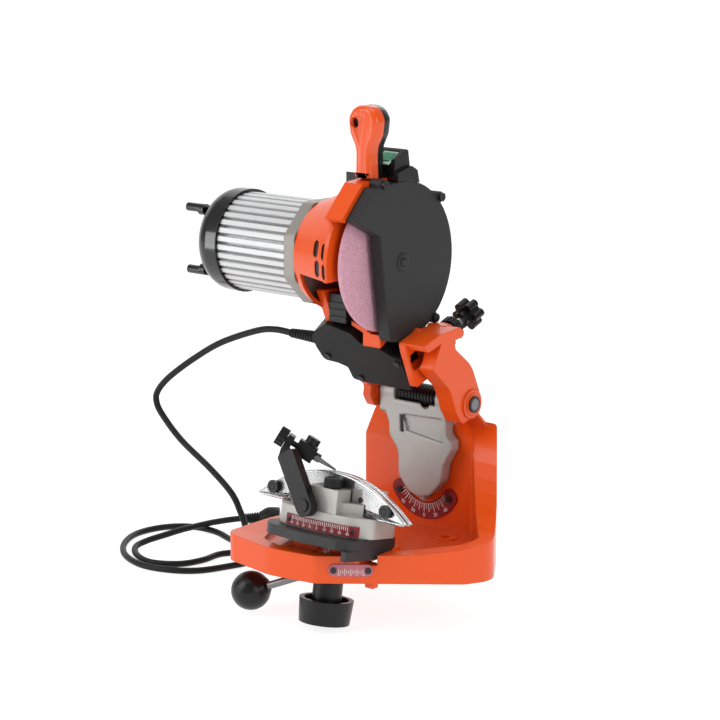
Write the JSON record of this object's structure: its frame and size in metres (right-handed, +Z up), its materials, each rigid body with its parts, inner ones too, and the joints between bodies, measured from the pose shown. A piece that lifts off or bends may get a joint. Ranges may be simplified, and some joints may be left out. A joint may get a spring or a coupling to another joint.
{
  "type": "chainsaw chain sharpener",
  "caption": "electric bench grinder for saw chain: hinged motor head with thin pink wheel and guard, tilting on an orange cast base with a swivelling chain vise",
  "frame": {"origin": "midway between the two bench bolt holes, on the underside of the base", "axes": "+X to the operator's right along the motor axis, away from the motor; +Y to the rear; +Z up"},
  "size_m": [0.5024, 0.2786, 0.5127],
  "materials": {
    "base_casting": "orange powder coat on an aluminium casting",
    "head_tilt_scale": "printed dark red aluminium plate",
    "vise_tilt_scale": "printed aluminium plate",
    "scale_screws": "blackened steel",
    "tilt_bracket": "die-cast aluminium, blasted",
    "tilt_pivot_stud": "turned steel",
    "hinge_shaft": "ground steel",
    "hinge_circlips": "spring steel",
    "return_spring": "black spring steel",
    "power_cord": "black rubber sheath",
    "mains_plug": "moulded rubber",
    "plug_pins": "nickel plated brass",
    "tilt_lock_knob": "black plastic",
    "motor_support": "orange powder coat on an aluminium casting",
    "wheel_guard": "black plastic, fine texture",
    "guard_screws": "blackened steel",
    "handle_front_shell": "orange plastic",
    "handle_rear_shell": "black plastic",
    "handle_screws": "zinc plated",
    "motor_housing": "extruded aluminium",
    "motor_end_bell": "die-cast aluminium",
    "motor_tie_screws": "blackened steel",
    "stator_core": "laminated steel",
    "stator_windings": "copper wire",
    "front_bearing": "bearing steel",
    "rear_bearing": "bearing steel",
    "fan_cover": "black plastic",
    "switch_box": "black plastic",
    "electrical_box": "black plastic",
    "electrical_box_cover": "black plastic",
    "electrical_box_screws": "zinc plated",
    "run_capacitor": "white plastic can",
    "strain_relief": "moulded rubber",
    "cable_duct": "black plastic, ribbed",
    "rotor_shaft": "ground steel",
    "rotor_core": "laminated steel",
    "cooling_fan": "black plastic",
    "wheel_flanges": "turned steel",
    "grinding_wheel": "pink aluminium oxide",
    "wheel_nut": "zinc plated",
    "start_button": "green plastic",
    "depth_screw": "turned steel",
    "depth_screw_knob": "black plastic",
    "depth_lock_nut": "black plastic",
    "ridged_roller": "black plastic, ridged",
    "vise_plate": "dark grey coated casting",
    "vise_stud": "turned steel",
    "vise_body": "die-cast aluminium, blasted",
    "swivel_scale": "printed dark red aluminium plate",
    "rear_rail": "polished chrome",
    "front_jaw": "polished chrome",
    "rail_screws": "blackened steel",
    "clamp_lever_rod": "chromed steel",
    "clamp_lever_ball": "black phenolic ball",
    "vise_lock_knob": "black plastic",
    "stop_arm": "black coated casting",
    "stop_screw_knob": "black plastic",
    "stop_block": "black coated casting",
    "stop_pawl": "spring steel",
    "pawl_lock_knob": "black plastic"
  },
  "bodies": {
    "base": {"base_casting": "base_casting", "head_tilt_scale": "head_tilt_scale", "vise_tilt_scale": "vise_tilt_scale", "scale_screws": "scale_screws"},
    "tilt_frame": {"tilt_bracket": "tilt_bracket", "tilt_pivot_stud": "tilt_pivot_stud", "hinge_shaft": "hinge_shaft", "hinge_circlips": "hinge_circlips", "return_spring": "return_spring", "power_cord": "power_cord", "mains_plug": "mains_plug", "plug_pins": "plug_pins"},
    "tilt_lock": {"tilt_lock_knob": "tilt_lock_knob"},
    "head": {"motor_support": "motor_support", "wheel_guard": "wheel_guard", "guard_screws": "guard_screws", "handle_front_shell": "handle_front_shell", "handle_rear_shell": "handle_rear_shell", "handle_screws": "handle_screws", "motor_housing": "motor_housing", "motor_end_bell": "motor_end_bell", "motor_tie_screws": "motor_tie_screws", "stator_core": "stator_core", "stator_windings": "stator_windings", "front_bearing": "front_bearing", "rear_bearing": "rear_bearing", "fan_cover": "fan_cover", "switch_box": "switch_box", "electrical_box": "electrical_box", "electrical_box_cover": "electrical_box_cover", "electrical_box_screws": "electrical_box_screws", "run_capacitor": "run_capacitor", "strain_relief": "strain_relief", "cable_duct": "cable_duct"},
    "spindle": {"rotor_shaft": "rotor_shaft", "rotor_core": "rotor_core", "cooling_fan": "cooling_fan", "wheel_flanges": "wheel_flanges", "grinding_wheel": "grinding_wheel", "wheel_nut": "wheel_nut"},
    "button": {"start_button": "start_button"},
    "depth_stop": {"depth_screw": "depth_screw"},
    "depth_knob": {"depth_screw_knob": "depth_screw_knob"},
    "depth_nut": {"depth_lock_nut": "depth_lock_nut"},
    "vise_cradle": {"vise_plate": "vise_plate", "vise_stud": "vise_stud"},
    "vise_turret": {"vise_body": "vise_body", "swivel_scale": "swivel_scale", "rear_rail": "rear_rail", "rail_screws": "rail_screws", "ridged_roller": "ridged_roller"},
    "jaw": {"front_jaw": "front_jaw"},
    "clamp_lever": {"clamp_lever_rod": "clamp_lever_rod", "clamp_lever_ball": "clamp_lever_ball"},
    "vise_lock": {"vise_lock_knob": "vise_lock_knob"},
    "stop_swing": {"stop_arm": "stop_arm"},
    "stop_adjuster": {"stop_screw_knob": "stop_screw_knob"},
    "stop_slider": {"stop_block": "stop_block"},
    "pawl": {"stop_pawl": "stop_pawl"},
    "pawl_lock": {"pawl_lock_knob": "pawl_lock_knob"}
  },
  "joints": [
    {"name": "head_tilt", "type": "hinge", "parent": "base", "child": "tilt_frame", "pos_m": [0, 0.022, 0.072], "axis": [0, 1, 0], "range_deg": [-20, 18]},
    {"name": "tilt_lock_turn", "type": "hinge", "parent": "tilt_frame", "child": "tilt_lock", "pos_m": [0, 0.06, 0.072], "axis": [0, 1, 0], "range_deg": [-180, 180]},
    {"name": "head_swing", "type": "hinge", "parent": "tilt_frame", "child": "head", "pos_m": [0, 0.022, 0.151], "axis": [1, 0, 0], "range_deg": [0, 56], "stiffness_Nm_per_rad": 9, "springref_deg": -74.48},
    {"name": "spindle_spin", "type": "hinge", "parent": "head", "child": "spindle", "pos_m": [0, -0.048, 0.303], "axis": [1, 0, 0], "continuous": true},
    {"name": "button_press", "type": "slide", "parent": "head", "child": "button", "axis": [0, -0.4695, 0.8829], "range_m": [-0.0025, 0], "stiffness_N_per_m": 400, "springref_m": 0.001},
    {"name": "depth_travel", "type": "slide", "parent": "head", "child": "depth_stop", "axis": [0, 0.9354, 0.3535], "range_m": [-0.004, 0.004]},
    {"name": "depth_knob_turn", "type": "hinge", "parent": "depth_stop", "child": "depth_knob", "pos_m": [0.031, -0.023, 0.2098], "axis": [0, 0.9354, 0.3535], "range_deg": [-960.5, 960.5]},
    {"name": "depth_nut_turn", "type": "hinge", "parent": "head", "child": "depth_nut", "pos_m": [0.031, -0.023, 0.2098], "axis": [0, 0.9354, 0.3535], "range_deg": [-180, 180]},
    {"name": "vise_tilt", "type": "hinge", "parent": "base", "child": "vise_cradle", "pos_m": [0, -0.118, 0.098], "axis": [1, 0, 0], "range_deg": [0, 10]},
    {"name": "vise_swivel", "type": "hinge", "parent": "vise_cradle", "child": "vise_turret", "pos_m": [0, -0.118, 0.098], "axis": [0, -0.1736, -0.9848], "range_deg": [-35, 35]},
    {"name": "jaw_slide", "type": "slide", "parent": "vise_turret", "child": "jaw", "axis": [0, 0.9848, -0.1736], "range_m": [0, 0.0023]},
    {"name": "clamp_lever_turn", "type": "hinge", "parent": "vise_cradle", "child": "clamp_lever", "pos_m": [0, -0.118, 0.098], "axis": [0, 0.1736, 0.9848], "range_deg": [0, 40]},
    {"name": "vise_lock_turn", "type": "hinge", "parent": "vise_cradle", "child": "vise_lock", "pos_m": [0, -0.118, 0.098], "axis": [0, 0.1736, 0.9848], "range_deg": [-180, 180]},
    {"name": "stop_swing_turn", "type": "hinge", "parent": "vise_turret", "child": "stop_swing", "pos_m": [-0.004, -0.16041, 0.074], "axis": [0, 0.9848, -0.1736], "range_deg": [-12, 2]},
    {"name": "stop_travel", "type": "slide", "parent": "stop_swing", "child": "stop_slider", "axis": [0.733, 0.4485, -0.5114], "range_m": [-0.0035, 0]},
    {"name": "stop_adjuster_turn", "type": "hinge", "parent": "stop_swing", "child": "stop_adjuster", "pos_m": [-0.049, -0.15003, 0.13401], "axis": [0.733, 0.4485, -0.5114], "range_deg": [-840.5, 0]},
    {"name": "pawl_flip", "type": "hinge", "parent": "stop_slider", "child": "pawl", "pos_m": [-0.01894, -0.13164, 0.11304], "axis": [-0.5864, 0.7977, -0.1407], "range_deg": [-80, 0]},
    {"name": "pawl_lock_turn", "type": "hinge", "parent": "stop_slider", "child": "pawl_lock", "pos_m": [-0.0295, -0.13463, 0.11876], "axis": [0.3449, 0.403, 0.8477], "range_deg": [-180, 180]}
  ],
  "couplings": [
    {"joint": "depth_knob_turn", "follows": "depth_travel", "rad_per_m": 4188.8},
    {"joint": "jaw_slide", "follows": "clamp_lever_turn", "m_per_rad": 0.00315},
    {"joint": "stop_adjuster_turn", "follows": "stop_travel", "rad_per_m": 4188.8}
  ]
}
